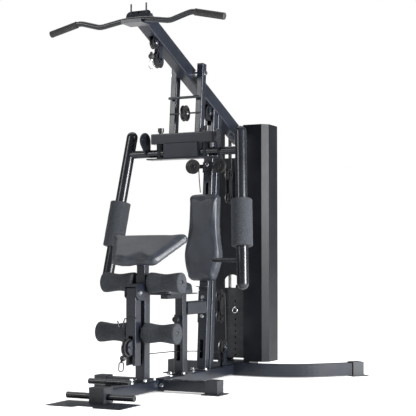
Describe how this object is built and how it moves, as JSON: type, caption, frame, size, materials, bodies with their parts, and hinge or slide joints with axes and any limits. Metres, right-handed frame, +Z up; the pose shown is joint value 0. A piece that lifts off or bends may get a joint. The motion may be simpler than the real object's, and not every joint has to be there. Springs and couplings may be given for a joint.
{
  "type": "multi station home gym",
  "caption": "Free-standing home gym with a pull-down boom, swinging press and butterfly arms, leg developer, arm-curl pad, seat and a shrouded weight stack.",
  "frame": {"origin": "on the floor under the seat post, on the machine's middle plane, at the rubber pad under the main beam", "axes": "+X across the machine to the user's left, +Y to the rear (the weight stack), +Z up"},
  "size_m": [1.3267, 2.1504, 2.11],
  "materials": {
    "frame_paint": "semi-gloss dark grey powder coat",
    "black_plastic": "fine moulded texture",
    "pad_cover": "dark grey grained vinyl",
    "foam": "closed-cell foam, matt",
    "chrome": "bright plating",
    "plate_paint": "matt black coating"
  },
  "bodies": {
    "frame": {"front_beam": "frame_paint", "rear_beam": "frame_paint", "front_stabilizer": "frame_paint", "rear_cross_tube": "frame_paint", "feet": "black_plastic", "frame_bolts": "chrome", "end_block": "black_plastic", "foot_bars": "frame_paint", "foot_plate": "frame_paint", "front_post": "frame_paint", "upper_axle": "chrome", "seat_sleeve": "frame_paint", "brace_beam": "frame_paint", "front_upright": "frame_paint", "rear_upright": "frame_paint", "back_pad": "pad_cover", "back_bracket": "frame_paint", "boom": "frame_paint", "bar_rack": "frame_paint", "pulley_brackets": "frame_paint", "press_axle": "chrome", "guide_rods": "chrome", "weight_plates": "plate_paint", "shroud": "frame_paint", "stack_bracket": "frame_paint", "cables": "black_plastic", "arm_cables": "black_plastic"},
    "upper_roller_pair": {"upper_rollers": "foam"},
    "curl_support": {"curl_post": "frame_paint", "curl_pad": "pad_cover"},
    "leg_developer": {"leg_lever": "frame_paint", "lower_axle": "chrome", "low_stopper": "black_plastic", "lever_bolt": "chrome"},
    "lower_roller_pair": {"lower_rollers": "foam"},
    "low_pulley_wheel": {"low_pulley": "black_plastic"},
    "seat": {"seat_stem": "frame_paint", "seat_pad": "pad_cover"},
    "seat_pop_pin": {"seat_pin": "black_plastic"},
    "pull_down_bar": {"lat_bar": "frame_paint"},
    "front_pulley_wheel": {"front_pulley": "black_plastic"},
    "drop_pulley_wheel": {"drop_pulley": "black_plastic"},
    "top_pulley_wheel": {"top_pulley": "black_plastic"},
    "rear_low_pulley_wheel": {"rear_low_pulley": "black_plastic"},
    "side_pulley_wheel_left": {"side_pulley_left": "black_plastic"},
    "side_pulley_wheel_right": {"side_pulley_right": "black_plastic"},
    "high_cable_end": {"high_stopper": "black_plastic"},
    "press_swing": {"press_frame": "frame_paint", "press_beam": "frame_paint"},
    "press_pulley_wheel": {"press_pulley": "black_plastic"},
    "left_arm": {"arm_left": "frame_paint", "arm_foam_left": "foam"},
    "right_arm": {"arm_right": "frame_paint", "arm_foam_right": "foam"},
    "left_lock_pin": {"lock_pin_left": "black_plastic"},
    "right_lock_pin": {"lock_pin_right": "black_plastic"},
    "lifted_weights": {"weight_top": "plate_paint"},
    "stack_pin": {"selector_pin": "chrome"},
    "upper_carriage": {"carriage_upper": "black_plastic"},
    "lower_carriage": {"carriage_lower": "black_plastic"}
  },
  "joints": [
    {"name": "upper_roller_spin", "type": "hinge", "parent": "frame", "child": "upper_roller_pair", "pos_m": [0, -0.44, 0.601], "axis": [1, 0, 0], "continuous": true},
    {"name": "curl_height", "type": "slide", "parent": "frame", "child": "curl_support", "axis": [0, 0, 1], "range_m": [0, 0.08]},
    {"name": "leg_developer_swing", "type": "hinge", "parent": "frame", "child": "leg_developer", "pos_m": [0, -0.54, 0.55], "axis": [-1, 0, 0], "range_deg": [0, 80]},
    {"name": "lower_roller_spin", "type": "hinge", "parent": "leg_developer", "child": "lower_roller_pair", "pos_m": [0, -0.49, 0.334], "axis": [1, 0, 0], "continuous": true},
    {"name": "low_pulley_spin", "type": "hinge", "parent": "leg_developer", "child": "low_pulley_wheel", "pos_m": [0, -0.605, 0.262], "axis": [1, 0, 0], "continuous": true},
    {"name": "seat_height", "type": "slide", "parent": "frame", "child": "seat", "axis": [0, 0, 1], "range_m": [0, 0.075]},
    {"name": "seat_pin_pull", "type": "slide", "parent": "frame", "child": "seat_pop_pin", "axis": [0, -1, 0], "range_m": [0, 0.012], "stiffness_N_per_m": 800},
    {"name": "bar_lift_off", "type": "slide", "parent": "frame", "child": "pull_down_bar", "axis": [0, 0, 1], "range_m": [0, 0.3]},
    {"name": "front_pulley_spin", "type": "hinge", "parent": "frame", "child": "front_pulley_wheel", "pos_m": [0, -0.322, 1.925], "axis": [1, 0, 0], "continuous": true},
    {"name": "drop_pulley_spin", "type": "hinge", "parent": "frame", "child": "drop_pulley_wheel", "pos_m": [0, -0.273, 1.838], "axis": [1, 0, 0], "continuous": true},
    {"name": "top_pulley_spin", "type": "hinge", "parent": "frame", "child": "top_pulley_wheel", "pos_m": [0, 0.352, 1.612], "axis": [1, 0, 0], "continuous": true},
    {"name": "rear_low_pulley_spin", "type": "hinge", "parent": "frame", "child": "rear_low_pulley_wheel", "pos_m": [0, 0.563, 0.19], "axis": [1, 0, 0], "continuous": true},
    {"name": "side_pulley_left_spin", "type": "hinge", "parent": "frame", "child": "side_pulley_wheel_left", "pos_m": [-0.088, 0.322, 1.288], "axis": [0, 1, 0], "continuous": true},
    {"name": "side_pulley_right_spin", "type": "hinge", "parent": "frame", "child": "side_pulley_wheel_right", "pos_m": [0.088, 0.322, 1.288], "axis": [0, 1, 0], "continuous": true},
    {"name": "high_pull", "type": "slide", "parent": "frame", "child": "high_cable_end", "axis": [0, 0, -1], "range_m": [0, 0.5]},
    {"name": "press_swing_hinge", "type": "hinge", "parent": "frame", "child": "press_swing", "pos_m": [0, 0.098, 1.812], "axis": [-1, 0, 0], "range_deg": [0, 45]},
    {"name": "press_pulley_spin", "type": "hinge", "parent": "press_swing", "child": "press_pulley_wheel", "pos_m": [0, 0.05, 1.576], "axis": [1, 0, 0], "continuous": true},
    {"name": "right_arm_swing", "type": "hinge", "parent": "press_swing", "child": "right_arm", "pos_m": [0.148, 0.03, 1.345], "axis": [0, 0, -1], "range_deg": [0, 60]},
    {"name": "left_arm_swing", "type": "hinge", "parent": "press_swing", "child": "left_arm", "pos_m": [-0.148, 0.03, 1.345], "axis": [0, 0, 1], "range_deg": [0, 60]},
    {"name": "left_lock_pull", "type": "slide", "parent": "press_swing", "child": "left_lock_pin", "axis": [0, 0, 1], "range_m": [0, 0.014], "stiffness_N_per_m": 900},
    {"name": "right_lock_pull", "type": "slide", "parent": "press_swing", "child": "right_lock_pin", "axis": [0, 0, 1], "range_m": [0, 0.014], "stiffness_N_per_m": 900},
    {"name": "stack_lift", "type": "slide", "parent": "frame", "child": "lifted_weights", "axis": [0, 0, 1], "range_m": [0, 0.5]},
    {"name": "stack_pin_pull", "type": "slide", "parent": "lifted_weights", "child": "stack_pin", "axis": [0, -1, 0], "range_m": [0, 0.026]},
    {"name": "upper_carriage_travel", "type": "slide", "parent": "frame", "child": "upper_carriage", "axis": [0, 0, -1], "range_m": [0, 0.2]},
    {"name": "lower_carriage_travel", "type": "slide", "parent": "frame", "child": "lower_carriage", "axis": [0, 0, 1], "range_m": [0, 0.2]}
  ],
  "couplings": [
    {"joint": "stack_lift", "follows": "high_pull", "ratio": 1}
  ]
}
